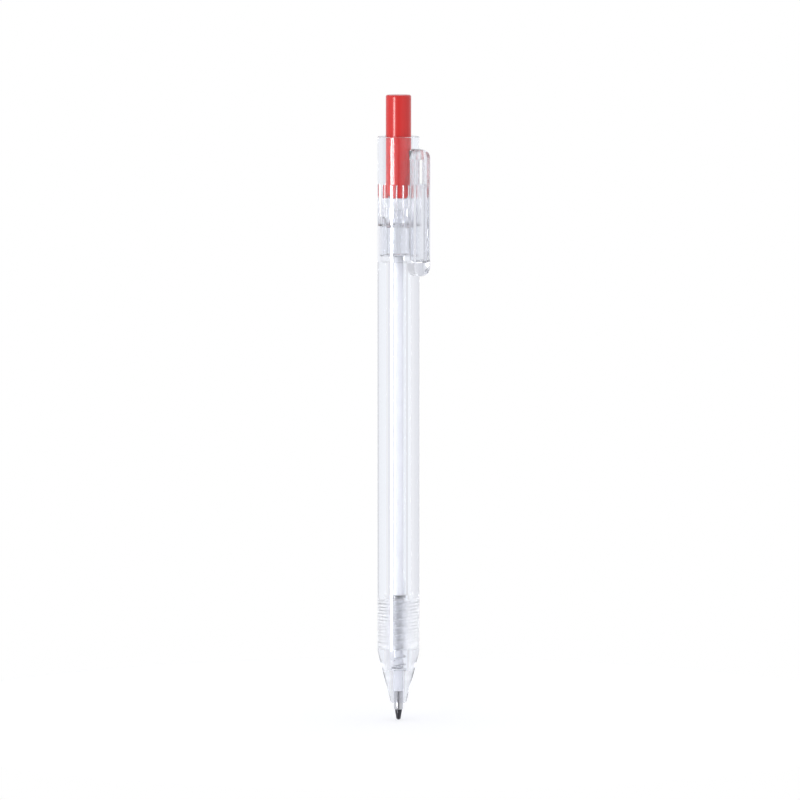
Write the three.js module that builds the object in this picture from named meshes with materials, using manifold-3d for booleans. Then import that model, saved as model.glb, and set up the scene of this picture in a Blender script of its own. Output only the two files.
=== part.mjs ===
// A clear click ballpoint pen that stands on its point, with the point out.
// Millimetres, +Z up. The pen's axis is Z, the ball's lowest point is the origin,
// and the clip is on the +X side. Each piece is drawn from its own foot and then placed.
import * as THREE from 'three';
import { mergeVertices } from 'three/addons/utils/BufferGeometryUtils.js';
import Module from 'manifold-3d';

const wasm = await Module();
wasm.setup();

// Round work
const SIDES = 32; // facets of every turned piece, so that nested facets lie parallel
const DEGREE = Math.PI / 180;

// Clearances
const RUNNING_GAP = 0.14; // button in the bore of the upper housing, radial
const FIT_GAP = 0.05; // pressed and screwed fits, radial
const SEAT_GAP = 0.3; // between pieces that bear on each other end to end
const FIN_GAP = 0.25; // rotor and pusher fins in their bores, radial
const CUT_OVERRUN = 1; // how far a cutter reaches past what it cuts

// Travel of the click action
const STROKE = 5; // from point out to point in
const PRESS = 1.2; // extra press below the latched height
const RIB_COUNT = 8;
const CLICK_TURN = 180 / RIB_COUNT; // the rotor turns by half a rib pitch, in degrees
const LEAD = STROKE / CLICK_TURN; // rise for each degree of that turn

// Writing point
const BALL_RADIUS = 0.4;
const BALL_GAP = 0.03;
const BALL_SIDES = 12;
const CONE_TOP_RADIUS = 0.83;
const CONE_TIP_RADIUS = 0.47;
const CONE_TOP_LEVEL = 2.44;
const CONE_SHANK_RADIUS = 0.6;
const CONE_SHANK_LENGTH = 1.6;
const INK_HOLE_RADIUS = 0.2;
const SLEEVE_RADIUS = 1.07;
const SLEEVE_LENGTH = 4.46;
const SLEEVE_SHANK_LENGTH = 4.6;

// Refill
const REFILL_RADIUS = 1.12;
const REFILL_WALL = 0.35;
const EAR_LEVEL = 29.1; // underside of the crimped ears
const EAR_HEIGHT = 3.9;
const EAR_RAMP = 2; // sloped upper length of the ears
const EAR_REACH = 0.46; // beyond the tube
const EAR_THICKNESS = 0.7;
const EAR_DIRECTION = 45;
const INK_TOP_FROM_END = 7.5; // empty length at the top of the refill, above the ink
const FOLLOWER_LENGTH = 2.5;

// Nose cone
const NOSE_LEVEL = 4.05; // the mouth's height above the ball
const NOSE_HEIGHT = 12.55; // mouth to seam
const NOSE_MOUTH_RADIUS = 1.82;
const NOSE_SHOULDER_RADIUS = 4.16;
const NOSE_SHOULDER_DROP = 3.35; // the round shoulder's height below the seam
const NOSE_SHOULDER_EASE = 1.1; // how far below the seam the shoulder still runs upright
const NOSE_SHOULDER_STEPS = 5;
const NOSE_LIP_ROUND = 0.3;
const NOSE_LIP_LENGTH = 1.03;
const NOSE_BORE_GAP = 0.18; // round the refill
const SPRING_SEAT_LEVEL = 11.75;

// Thread between the nose cone and the barrel, drawn as rings
const THREAD_PITCH = 0.74;
const THREAD_TURNS = 13;
const THREAD_DEPTH = 0.2;
const THREAD_NECK = 1.5; // plain length beside the seam
const SPIGOT_WALL = 1.02; // spring chamber to the thread's root

// Return spring
const WIRE_RADIUS = 0.2;
const SPRING_INNER_GAP = 0.23; // round the refill tube
const SPRING_CURLS = 10;
const SPRING_GAP = 0.35; // round the spring in its chamber
const SPRING_BORE_GAP = 0.1; // round the spring in the barrel, where it follows the ears
const SPRING_END_GAP = 0.1;
const CURL_STEPS = 8;
const WIRE_SIDES = 5;
const LEAST_BEND_COSINE = 0.5; // limit of the mitre at a bend of the wire
const LEAST_SPRING_GAP = 0.4;

// Barrel
const BARREL_RADIUS = 4.82;
const BARREL_LENGTH = 97.4;
const BARREL_RIM_WALL = 0.52; // beside the upper housing's spigot
const SPRING_RELIEF = 0.8; // wide stretch of the bore above the nose cone's spigot

// Upper housing
const HOUSING_LENGTH = 20.2;
const HOUSING_STEP = 0.02; // the housing is this much slimmer than the barrel
const SPIGOT_LENGTH = 7;
const SPIGOT_RIM = 0.45; // the spigot's wall
const GROOVE_DEPTH = 0.75; // height of the guide ribs
const GUIDE_LENGTH = 9.2; // from the seam up to the shoulder where the grooves end
const RIB_TURN = 5; // the first rib's direction, measured from the clip
const RIB_WIDTH = 22.5;
const RIB_FACET = 1.25; // facets of a rib's sloped end, in degrees
const EDGE_ROUND = 0.2;

// Clip, moulded with the upper housing
const CLIP_GAP = 1.13; // between the strap and the barrel
const CLIP_WIDTH = 4.55;
const CLIP_DEPTH = 1.95;
const CLIP_FACE = 1; // thickness of the strap's face
const CLIP_FLANGE = 0.58; // thickness of its two side walls
const CLIP_TOP = 17.5; // above the seam
const CLIP_BRIDGE = 2.3; // thickness of the bridge to the housing
const BRIDGE_WIDTH = 2.4;
const CLIP_LENGTH = 29;
const CLIP_CORNER = 1.7;
const CLIP_CORNER_STEPS = 4;
const CLIP_END_STEPS = 10;
const CLIP_TIP_ROUND = 0.7; // round edges of the free end
const CLIP_PAD_LENGTH = 3;
const CLIP_PAD_RAMP = 1.2; // solid length above the pad
const CLIP_PAD_GAP = 0.3; // between the pad and the barrel
const WINDOW_WIDTH = 2.2;
const WINDOW_LENGTH = 5.6;

// Click action
const BUTTON_PROUD = 9.5; // above the housing with the point out
const BUTTON_LENGTH = 23.5;
const BUTTON_WALL = 0.76;
const BUTTON_ROOF = 3.2;
const BUTTON_ROUND = 0.45;
const PUSHER_LENGTH = 6.55; // clear sleeve below the button
const PUSHER_STEP = 0.16; // the sleeve is this much slimmer than the button
const PUSHER_WALL = 0.9;
const PUSHER_STEM_FREE = 0.6; // between the stem and the button's roof
const PUSHER_FIN_LENGTH = 2.4;
const PUSHER_FIN_RISE = 1.85; // from the teeth's tips up to the fins
const PUSHER_TOOTH = 1;
const FIN_SIDE_GAP = 1.5; // beside a pusher fin in its groove, in degrees
const KEY_COUNT = 4;
const KEY_WIDTH = 21;
const KEY_HEIGHT = 0.45;
const KEY_GAP = 0.12;
const KEY_SIDE_GAP = 0.75; // in degrees
const ROTOR_LENGTH = 6.5;
const ROTOR_STEP = 0.15; // the rotor is this much slimmer than the button
const ROTOR_ROUND = 0.4;
const ROTOR_STEM_LENGTH = 3.8;
const ROTOR_STEM_WALL_GAP = 0.3;
const ROTOR_FIN_WIDTH = 9; // in degrees
const ROTOR_FIN_INSET = 1.25; // from the middle of its rib, in degrees
const ROTOR_FIN_COUNT = 4; // one for every other rib
const ROTOR_FIN_STEP = 0.1; // between the fins' free upper ends and the pusher's sleeve
const ROTOR_TOP_DROP = 0.5; // below the seam

// Radii that follow from the ones above
const refillBore = REFILL_RADIUS - REFILL_WALL;
const plugRadius = refillBore - FIT_GAP;
const earRadius = REFILL_RADIUS + EAR_REACH;
const springRadius = REFILL_RADIUS + SPRING_INNER_GAP + WIRE_RADIUS;
const springChamber = springRadius + WIRE_RADIUS + SPRING_GAP;
const barrelBore = springRadius + WIRE_RADIUS + SPRING_BORE_GAP;
const threadRoot = springChamber + SPIGOT_WALL;
const threadCrest = threadRoot + THREAD_DEPTH;
const housingRadius = BARREL_RADIUS - HOUSING_STEP;
const rimBore = BARREL_RADIUS - BARREL_RIM_WALL;
const spigotRadius = rimBore - FIT_GAP;
const grooveRadius = spigotRadius - SPIGOT_RIM;
const guideBore = grooveRadius - GROOVE_DEPTH;
const buttonRadius = guideBore - RUNNING_GAP;
const buttonBore = buttonRadius - BUTTON_WALL;
const pusherRadius = buttonRadius - PUSHER_STEP;
const pusherBore = pusherRadius - PUSHER_WALL;
const rotorRadius = buttonRadius - ROTOR_STEP;
const finRadius = grooveRadius - FIN_GAP;
const clipBack = BARREL_RADIUS + CLIP_GAP;
const clipFront = clipBack + CLIP_DEPTH;

// Levels on the assembled pen
const refillFoot = CONE_TOP_LEVEL + SLEEVE_LENGTH;
const noseSeam = NOSE_LEVEL + NOSE_HEIGHT;
const barrelTop = noseSeam + BARREL_LENGTH;
const rotorTop = barrelTop - ROTOR_TOP_DROP;
const rotorFoot = rotorTop - ROTOR_LENGTH;
const refillTop = rotorFoot - SEAT_GAP;
const buttonTop = barrelTop + HOUSING_LENGTH + BUTTON_PROUD;
const buttonFoot = buttonTop - BUTTON_LENGTH;
const pusherFoot = buttonFoot - PUSHER_LENGTH;
const finPeak = pusherFoot + PUSHER_FIN_RISE - SEAT_GAP;
const inkFoot = refillFoot + SLEEVE_SHANK_LENGTH + SEAT_GAP;
const inkTop = refillTop - INK_TOP_FROM_END;

/** The geometry with shared corners, no triangles without area and its faces pointing out. */
function closed(geometry) {
  const bare = geometry.clone();
  bare.deleteAttribute('normal');
  bare.deleteAttribute('uv');
  const merged = mergeVertices(bare);
  const place = merged.getAttribute('position');
  const kept = [];
  let volume = 0;
  const [a, b, c] = [new THREE.Vector3(), new THREE.Vector3(), new THREE.Vector3()];
  for (let i = 0; i < merged.index.count; i += 3) {
    const corners = [0, 1, 2].map((k) => merged.index.getX(i + k));
    if (new Set(corners).size < 3) continue;
    kept.push(corners);
    [a, b, c].forEach((point, k) => point.fromBufferAttribute(place, corners[k]));
    volume += a.dot(b.cross(c));
  }
  const ordered = volume < 0 ? kept.map((corners) => corners.reverse()) : kept;
  merged.setIndex(ordered.flat());
  return merged;
}

/** A solid for joining and cutting. */
function solid(geometry) {
  const ready = closed(geometry);
  return new wasm.Manifold(
    new wasm.Mesh({
      numProp: 3,
      vertProperties: new Float32Array(ready.getAttribute('position').array),
      triVerts: new Uint32Array(ready.index.array),
    }),
  );
}

/** A solid back as a geometry. */
function geometryOf(body) {
  const { vertProperties, triVerts } = body.getMesh();
  const geometry = new THREE.BufferGeometry();
  geometry.setAttribute('position', new THREE.BufferAttribute(vertProperties, 3));
  geometry.setIndex(new THREE.BufferAttribute(triVerts, 1));
  return geometry;
}

/** A round piece from its [radius, height] outline, which ends on the axis or closes on itself. */
function turned(outline) {
  const points = outline.map(([radius, height]) => new THREE.Vector2(radius, height));
  if (outline[0][0] > 0) points.push(points[0].clone());
  return closed(new THREE.LatheGeometry(points, SIDES).rotateX(Math.PI / 2));
}

/** Outline points of a round corner, between two angles in degrees. */
function corner(radius, height, round, from, to, steps = 3) {
  return Array.from({ length: steps + 1 }, (_, i) => {
    const angle = (from + ((to - from) * i) / steps) * DEGREE;
    return [radius + round * Math.cos(angle), height + round * Math.sin(angle)];
  });
}

/** A closed surface from loops of points: one loop to the next, with an end face on each end. */
function lofted(loops) {
  const size = loops[0].length;
  const index = [];
  for (let k = 0; k < loops.length - 1; k += 1) {
    for (let i = 0; i < size; i += 1) {
      const [a, b] = [k * size + i, k * size + ((i + 1) % size)];
      index.push(a, b, b + size, a, b + size, a + size);
    }
  }
  const last = (loops.length - 1) * size;
  for (let i = 1; i < size - 1; i += 1) {
    index.push(0, i + 1, i, last, last + i, last + i + 1);
  }
  const geometry = new THREE.BufferGeometry();
  geometry.setAttribute('position', new THREE.Float32BufferAttribute(loops.flat(2), 3));
  geometry.setIndex(index);
  return closed(geometry);
}

/** A block between two radii and two directions in degrees, with a foot and a top for each. */
function sector(inner, outer, from, to, footAt, topAt, steps = 2) {
  const loops = Array.from({ length: steps + 1 }, (_, i) => {
    const degrees = from + ((to - from) * i) / steps;
    const [x, y] = [Math.cos(degrees * DEGREE), Math.sin(degrees * DEGREE)];
    const [low, high] = [footAt(degrees), topAt(degrees)];
    return [
      [inner * x, inner * y, low],
      [outer * x, outer * y, low],
      [outer * x, outer * y, high],
      [inner * x, inner * y, high],
    ];
  });
  return lofted(loops);
}

/** The same block repeated round the axis, as solids. The builder gets each one's direction. */
function around(count, first, make) {
  return Array.from({ length: count }, (_, i) => solid(make(first + (i * 360) / count)));
}

const joined = (bodies) => bodies.reduce((sum, body) => sum.add(body));
const cutBy = (body, cutters) => cutters.reduce((rest, cutter) => rest.subtract(cutter), body);
const level = (height) => () => height;

/** Outline points of the thread, from its first root up to its last, moved out by a gap. */
function threadOutline(gap) {
  const points = [];
  for (let turn = 0; turn < THREAD_TURNS; turn += 1) {
    const root = NOSE_HEIGHT + THREAD_NECK + turn * THREAD_PITCH;
    points.push([threadRoot + gap, root], [threadCrest + gap, root + THREAD_PITCH / 2]);
  }
  points.push([threadRoot + gap, NOSE_HEIGHT + THREAD_NECK + THREAD_TURNS * THREAD_PITCH]);
  return points;
}

const spigotTop = NOSE_HEIGHT + THREAD_NECK + THREAD_TURNS * THREAD_PITCH + THREAD_PITCH / 4;

/** Nose cone from its mouth, with the threaded spigot and the spring's chamber. */
function noseCone() {
  const bore = REFILL_RADIUS + NOSE_BORE_GAP;
  const mouth = (bore + SLEEVE_RADIUS) / 2;
  const seat = SPRING_SEAT_LEVEL - NOSE_LEVEL;
  const shoulder = new THREE.QuadraticBezierCurve(
    new THREE.Vector2(NOSE_SHOULDER_RADIUS, NOSE_HEIGHT - NOSE_SHOULDER_DROP),
    new THREE.Vector2(BARREL_RADIUS, NOSE_HEIGHT - NOSE_SHOULDER_EASE),
    new THREE.Vector2(BARREL_RADIUS, NOSE_HEIGHT),
  );
  const lip = NOSE_MOUTH_RADIUS - NOSE_LIP_ROUND;
  return turned([
    [mouth, 0],
    ...corner(lip, NOSE_LIP_ROUND, NOSE_LIP_ROUND, -90, 0),
    ...shoulder.getPoints(NOSE_SHOULDER_STEPS).map(({ x, y }) => [x, y]),
    [threadRoot, NOSE_HEIGHT],
    ...threadOutline(0),
    [threadRoot, spigotTop],
    [springChamber, spigotTop],
    [springChamber, seat],
    [bore, seat],
    [bore, NOSE_LIP_LENGTH],
    [mouth, NOSE_LIP_LENGTH],
  ]);
}

/** Barrel from the seam with the nose cone. */
function barrel() {
  const floor = spigotTop - NOSE_HEIGHT + SEAT_GAP;
  const rotorFloor = rotorFoot - noseSeam - PRESS - SEAT_GAP;
  const rim = BARREL_LENGTH - SPIGOT_LENGTH - SEAT_GAP;
  const thread = threadOutline(FIT_GAP).map(([radius, height]) => [radius, height - NOSE_HEIGHT]);
  return turned([
    [threadRoot + FIT_GAP, 0],
    ...thread,
    [threadRoot + FIT_GAP, floor],
    [springChamber, floor],
    [springChamber, floor + SPRING_RELIEF],
    [barrelBore, floor + SPRING_RELIEF],
    [barrelBore, rotorFloor],
    [grooveRadius, rotorFloor],
    [grooveRadius, rim],
    [rimBore, rim],
    [rimBore, BARREL_LENGTH],
    [BARREL_RADIUS, BARREL_LENGTH],
    [BARREL_RADIUS, 0],
  ]);
}

/** Direction of a rotor fin's side that lies nearest the middle of its rib. */
const finEdge = (direction) => direction - ROTOR_FIN_INSET;

/** Height of a rotor fin's sloped top, which peaks at the fin's other side. */
function finTop(direction, degrees) {
  return finPeak - (degrees - (finEdge(direction) - ROTOR_FIN_WIDTH)) * LEAD;
}

/** Clip outline seen from the front: a strap with round ends. */
function clipFace() {
  const half = CLIP_WIDTH / 2;
  const face = new THREE.Shape();
  face.absarc(0, CLIP_TOP - half, half, 0, Math.PI);
  face.absarc(0, CLIP_TOP - CLIP_LENGTH + half, half, Math.PI, 2 * Math.PI);
  const toFront = new THREE.Matrix4().makeBasis(
    new THREE.Vector3(0, 1, 0),
    new THREE.Vector3(0, 0, 1),
    new THREE.Vector3(1, 0, 0),
  );
  const geometry = new THREE.ExtrudeGeometry(face, {
    depth: clipFront + CUT_OVERRUN,
    bevelEnabled: false,
    curveSegments: CLIP_END_STEPS,
  });
  return solid(geometry.applyMatrix4(toFront));
}

/** Clip outline seen from the side: bridge, strap and the pad at its free end. */
function clipSide() {
  const foot = CLIP_TOP - CLIP_LENGTH;
  const pad = BARREL_RADIUS + CLIP_PAD_GAP;
  const round = CLIP_TIP_ROUND;
  const side = new THREE.Shape();
  side.moveTo(grooveRadius, CLIP_TOP - CLIP_BRIDGE);
  side.lineTo(clipBack, CLIP_TOP - CLIP_BRIDGE);
  side.lineTo(clipBack, foot + CLIP_PAD_LENGTH + round);
  side.lineTo(pad, foot + CLIP_PAD_LENGTH);
  side.lineTo(pad, foot + round);
  side.absarc(pad + round, foot + round, round, Math.PI, 1.5 * Math.PI);
  side.absarc(clipFront - round, foot + round, round, 1.5 * Math.PI, 2 * Math.PI);
  side.absarc(clipFront - CLIP_CORNER, CLIP_TOP - CLIP_CORNER, CLIP_CORNER, 0, Math.PI / 2);
  side.lineTo(grooveRadius, CLIP_TOP);
  const depth = CLIP_WIDTH + CUT_OVERRUN;
  const geometry = new THREE.ExtrudeGeometry(side, {
    depth,
    bevelEnabled: false,
    curveSegments: CLIP_CORNER_STEPS,
  });
  return solid(geometry.rotateX(Math.PI / 2).translate(0, depth / 2, 0));
}

/** A box as a solid, from its two corners. */
function block(low, high) {
  const size = high.map((value, i) => value - low[i]);
  const middle = high.map((value, i) => (value + low[i]) / 2);
  return solid(new THREE.BoxGeometry(...size).translate(...middle));
}

/** The clip: a strap hollowed from behind, with a narrow bridge and a window below it. */
function clip() {
  const bridgeFoot = CLIP_TOP - CLIP_BRIDGE;
  const padTop = CLIP_TOP - CLIP_LENGTH + CLIP_PAD_LENGTH + CLIP_PAD_RAMP;
  const inside = CLIP_WIDTH / 2 - CLIP_FLANGE;
  const behind = clipBack - CUT_OVERRUN;
  const hollow = block([behind, -inside, padTop], [clipFront - CLIP_FACE, inside, bridgeFoot]);
  const window = block(
    [behind, -WINDOW_WIDTH / 2, bridgeFoot - WINDOW_LENGTH],
    [clipFront + CUT_OVERRUN, WINDOW_WIDTH / 2, bridgeFoot],
  );
  const besideBridge = [-1, 1].map((side) => {
    const edges = [side * (BRIDGE_WIDTH / 2), side * CLIP_WIDTH].sort((a, b) => a - b);
    return block(
      [grooveRadius - CUT_OVERRUN, edges[0], bridgeFoot - CUT_OVERRUN],
      [clipBack, edges[1], CLIP_TOP + CUT_OVERRUN],
    );
  });
  return cutBy(clipFace().intersect(clipSide()), [hollow, window, ...besideBridge]);
}

/** Upper housing from its seam: bore, guide ribs, spigot and clip. */
function upperHousing() {
  const shell = turned([
    [guideBore, GUIDE_LENGTH],
    ...corner(guideBore + EDGE_ROUND, HOUSING_LENGTH - EDGE_ROUND, EDGE_ROUND, 180, 90, 2),
    ...corner(housingRadius - EDGE_ROUND, HOUSING_LENGTH - EDGE_ROUND, EDGE_ROUND, 90, 0, 2),
    [housingRadius, 0],
    [spigotRadius, 0],
    [spigotRadius, -SPIGOT_LENGTH],
    [grooveRadius, -SPIGOT_LENGTH],
    [grooveRadius, GUIDE_LENGTH],
  ]);
  const toHousing = (height) => height - barrelTop + SEAT_GAP;
  const latch = (direction) => toHousing(finTop(direction, finEdge(direction)));
  const ribs = around(RIB_COUNT, RIB_TURN, (direction) =>
    sector(
      guideBore,
      grooveRadius + SPIGOT_RIM / 2,
      direction - RIB_WIDTH / 2,
      direction + RIB_WIDTH / 2,
      (degrees) => Math.max(latch(direction), toHousing(finTop(direction, degrees))),
      level(GUIDE_LENGTH),
      Math.round(RIB_WIDTH / RIB_FACET),
    ),
  );
  return geometryOf(joined([solid(shell), ...ribs, clip()]));
}

/** Push button from its lower rim: a closed red cap with notches for the pusher's keys. */
function pushButton() {
  const cap = turned([
    [0, BUTTON_LENGTH - BUTTON_ROOF],
    [buttonBore, BUTTON_LENGTH - BUTTON_ROOF],
    [buttonBore, 0],
    [buttonRadius, 0],
    ...corner(buttonRadius - BUTTON_ROUND, BUTTON_LENGTH - BUTTON_ROUND, BUTTON_ROUND, 0, 90),
    [0, BUTTON_LENGTH],
  ]);
  const half = KEY_WIDTH / 2 + KEY_SIDE_GAP;
  const notches = around(KEY_COUNT, RIB_TURN, (direction) =>
    sector(
      buttonBore - FIT_GAP,
      buttonRadius + CUT_OVERRUN,
      direction - half,
      direction + half,
      level(-CUT_OVERRUN),
      level(KEY_HEIGHT + KEY_GAP),
    ),
  );
  return geometryOf(cutBy(solid(cap), notches));
}

/** Pusher from its teeth: clear sleeve, fins that slide in the grooves, stem and keys. */
function camPusher() {
  const stemRadius = buttonBore - FIT_GAP;
  const stemTop = PUSHER_LENGTH + BUTTON_LENGTH - BUTTON_ROOF - PUSHER_STEM_FREE;
  const boreTop = rotorTop + ROTOR_STEM_LENGTH + SEAT_GAP - pusherFoot;
  const body = turned([
    [0, boreTop],
    [pusherBore, boreTop],
    [pusherBore, 0],
    [pusherRadius, 0],
    [pusherRadius, PUSHER_LENGTH],
    [stemRadius, PUSHER_LENGTH],
    [stemRadius, stemTop],
    [0, stemTop],
  ]);
  const grooveWidth = 360 / RIB_COUNT - RIB_WIDTH;
  const half = grooveWidth / 2 - FIN_SIDE_GAP;
  const fins = around(RIB_COUNT, RIB_TURN + 180 / RIB_COUNT, (direction) =>
    sector(
      pusherRadius - PUSHER_WALL / 2,
      finRadius,
      direction - half,
      direction + half,
      level(PUSHER_FIN_RISE),
      level(PUSHER_FIN_RISE + PUSHER_FIN_LENGTH),
    ),
  );
  const keys = around(KEY_COUNT, RIB_TURN, (direction) =>
    sector(
      stemRadius - FIT_GAP,
      pusherRadius,
      direction - KEY_WIDTH / 2,
      direction + KEY_WIDTH / 2,
      level(PUSHER_LENGTH - KEY_HEIGHT),
      level(PUSHER_LENGTH + KEY_HEIGHT),
    ),
  );
  const toothHalf = 90 / RIB_COUNT;
  const valleys = around(2 * RIB_COUNT, RIB_TURN, (direction) =>
    sector(
      pusherBore / 2,
      finRadius + CUT_OVERRUN,
      direction - toothHalf,
      direction + toothHalf,
      level(-CUT_OVERRUN),
      (degrees) => PUSHER_TOOTH * (1 - Math.abs(degrees - direction) / toothHalf),
    ),
  );
  return geometryOf(cutBy(joined([solid(body), ...fins, ...keys]), valleys));
}

/** Rotor from its foot: drum, guide stem and the fins that latch under the ribs. */
function camRotor() {
  const drum = turned([
    [0, 0],
    [rotorRadius, 0],
    ...corner(rotorRadius - ROTOR_ROUND, ROTOR_LENGTH - ROTOR_ROUND, ROTOR_ROUND, 0, 90),
    [pusherBore - ROTOR_STEM_WALL_GAP, ROTOR_LENGTH],
    [pusherBore - ROTOR_STEM_WALL_GAP, ROTOR_LENGTH + ROTOR_STEM_LENGTH],
    [0, ROTOR_LENGTH + ROTOR_STEM_LENGTH],
  ]);
  const firstFin = RIB_TURN + 360 / RIB_COUNT;
  const fins = (inner, top) =>
    around(ROTOR_FIN_COUNT, firstFin, (direction) =>
      sector(
        inner,
        finRadius,
        finEdge(direction) - ROTOR_FIN_WIDTH,
        finEdge(direction),
        level(0),
        top(direction),
      ),
    );
  const webs = fins(rotorRadius - ROTOR_ROUND, () => level(ROTOR_LENGTH - ROTOR_ROUND));
  const tops = fins(
    pusherRadius + ROTOR_FIN_STEP,
    (direction) => (degrees) => finTop(direction, degrees) - rotorFoot,
  );
  return geometryOf(joined([solid(drum), ...webs, ...tops]));
}

/** Refill tube from its lower end, with the crimped ears that carry the spring. */
function refillTube() {
  const length = refillTop - refillFoot;
  const wall = turned([
    [refillBore, 0],
    [REFILL_RADIUS, 0],
    [REFILL_RADIUS, length],
    [refillBore, length],
  ]);
  const foot = EAR_LEVEL - refillFoot;
  const ears = new THREE.Shape();
  [
    [-earRadius, foot],
    [earRadius, foot],
    [earRadius, foot + EAR_HEIGHT - EAR_RAMP],
    [REFILL_RADIUS, foot + EAR_HEIGHT],
    [-REFILL_RADIUS, foot + EAR_HEIGHT],
    [-earRadius, foot + EAR_HEIGHT - EAR_RAMP],
  ].forEach(([x, z], i) => (i ? ears.lineTo(x, z) : ears.moveTo(x, z)));
  const plate = new THREE.ExtrudeGeometry(ears, { depth: EAR_THICKNESS, bevelEnabled: false })
    .rotateX(Math.PI / 2)
    .translate(0, EAR_THICKNESS / 2, 0)
    .rotateZ(EAR_DIRECTION * DEGREE);
  const [coreFoot, coreTop] = [foot - CUT_OVERRUN, foot + EAR_HEIGHT + CUT_OVERRUN];
  const core = turned([
    [0, coreFoot],
    [refillBore, coreFoot],
    [refillBore, coreTop],
    [0, coreTop],
  ]);
  return geometryOf(joined([solid(wall), solid(plate).subtract(solid(core))]));
}

/** A plain round plug inside the refill tube, of the given length. */
function plug(length) {
  return turned([
    [0, 0],
    [plugRadius, 0],
    [plugRadius, length],
    [0, length],
  ]);
}

/** Point sleeve from the foot of its bright collar, with the shank that plugs the refill. */
function pointSleeve() {
  const socket = CONE_SHANK_RADIUS + FIT_GAP;
  const socketTop = CONE_SHANK_LENGTH + SEAT_GAP;
  const top = SLEEVE_LENGTH + SLEEVE_SHANK_LENGTH;
  return turned([
    [socket, 0],
    [SLEEVE_RADIUS - EDGE_ROUND, 0],
    [SLEEVE_RADIUS, EDGE_ROUND],
    [SLEEVE_RADIUS, SLEEVE_LENGTH],
    [plugRadius, SLEEVE_LENGTH],
    [plugRadius, top],
    [INK_HOLE_RADIUS, top],
    [INK_HOLE_RADIUS, socketTop],
    [socket, socketTop],
  ]);
}

/** Point cone: the dark nib that holds the ball, from the ball's lowest point. */
function pointCone() {
  const lip = BALL_RADIUS / 2;
  const lipBore = Math.sqrt(BALL_RADIUS ** 2 - (BALL_RADIUS - lip) ** 2) + BALL_GAP;
  const seatRadius = BALL_RADIUS + BALL_GAP;
  const seatTop = 2 * BALL_RADIUS + BALL_GAP;
  const shankTop = CONE_TOP_LEVEL + CONE_SHANK_LENGTH;
  return turned([
    [lipBore, lip],
    [CONE_TIP_RADIUS, lip + BALL_GAP],
    [CONE_TOP_RADIUS, CONE_TOP_LEVEL],
    [CONE_SHANK_RADIUS, CONE_TOP_LEVEL],
    [CONE_SHANK_RADIUS, shankTop],
    [INK_HOLE_RADIUS, shankTop],
    [INK_HOLE_RADIUS, seatTop],
    [seatRadius, seatTop],
    [seatRadius, BALL_RADIUS],
  ]);
}

/** Middle line of the spring's wire: straight end, curls and straight end. */
function springLine() {
  const wire = 2 * WIRE_RADIUS;
  const low = SPRING_SEAT_LEVEL + SPRING_END_GAP;
  const high = EAR_LEVEL - SPRING_END_GAP;
  const [coilLow, coilHigh] = [low + wire, high - wire];
  const steps = SPRING_CURLS * CURL_STEPS;
  const at = (degrees, height) =>
    new THREE.Vector3(
      springRadius * Math.cos(degrees * DEGREE),
      springRadius * Math.sin(degrees * DEGREE),
      height,
    );
  const coil = Array.from({ length: steps + 1 }, (_, i) =>
    at(EAR_DIRECTION + (i * 360) / CURL_STEPS, coilLow + ((coilHigh - coilLow) * i) / steps),
  );
  return [at(EAR_DIRECTION, low), ...coil, at(EAR_DIRECTION, high)];
}

/** The least gap between the wire's surface and itself, over points half a curl or more apart. */
function gapToItself(line) {
  let least = Infinity;
  line.forEach((point, i) => {
    for (let k = i + CURL_STEPS / 2; k < line.length; k += 1) {
      least = Math.min(least, point.distanceTo(line[k]) - 2 * WIRE_RADIUS);
    }
  });
  return least;
}

/** A round wire along a line of points, closed at both ends. */
function wireAlong(line) {
  const loops = line.map((point, i) => {
    const before = line[Math.max(i - 1, 0)];
    const after = line[Math.min(i + 1, line.length - 1)];
    const inward = point.clone().sub(before).normalize();
    const outward = after.clone().sub(point).normalize();
    const along = inward.clone().add(outward).normalize();
    const radial = new THREE.Vector3(point.x, point.y, 0).normalize();
    const side = radial.clone().addScaledVector(along, -radial.dot(along)).normalize();
    const up = new THREE.Vector3().crossVectors(along, side);
    const stretch = 1 / Math.max(along.dot(i ? inward : outward), LEAST_BEND_COSINE);
    return Array.from({ length: WIRE_SIDES }, (_, k) => {
      const angle = (2 * Math.PI * k) / WIRE_SIDES;
      const spot = point.clone().addScaledVector(side, WIRE_RADIUS * Math.cos(angle));
      return spot.addScaledVector(up, WIRE_RADIUS * stretch * Math.sin(angle)).toArray();
    });
  });
  return lofted(loops);
}

/** Return spring, from the nose cone's seat to the refill's ears. */
function returnSpring() {
  const line = springLine();
  const least = gapToItself(line);
  console.log(`spring: least gap to itself ${least.toFixed(2)} mm, limit ${LEAST_SPRING_GAP} mm`);
  return wireAlong(line);
}

// Materials
const plastic = (color, roughness) =>
  new THREE.MeshStandardMaterial({ color, roughness, metalness: 0 });
const metal = (color, roughness) =>
  new THREE.MeshStandardMaterial({ color, roughness, metalness: 1 });
const clear = (color) => {
  const material = plastic(color, 0.08);
  material.transparent = true;
  material.opacity = 0.35;
  return material;
};

/** A named piece with its foot at the given height. */
function piece(name, geometry, material, height = 0) {
  const mesh = new THREE.Mesh(geometry, material);
  mesh.name = name;
  mesh.position.z = height;
  return mesh;
}

const shell = new THREE.Group();
shell.add(
  piece('nose_cone', noseCone(), clear(0xe9ebf4), NOSE_LEVEL),
  piece('barrel', barrel(), clear(0xf2f4fb), noseSeam),
  piece('upper_housing', upperHousing(), clear(0xe6e8f2), barrelTop),
  piece('return_spring', returnSpring(), metal(0xb9bcc2, 0.25)),
);

const clickAction = new THREE.Group();
clickAction.add(
  piece('push_button', pushButton(), plastic(0xd23a36, 0.25), buttonFoot),
  piece('cam_pusher', camPusher(), clear(0xdfe2ee), pusherFoot),
  piece('cam_rotor', camRotor(), clear(0xd6d8e4), rotorFoot),
);

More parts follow.
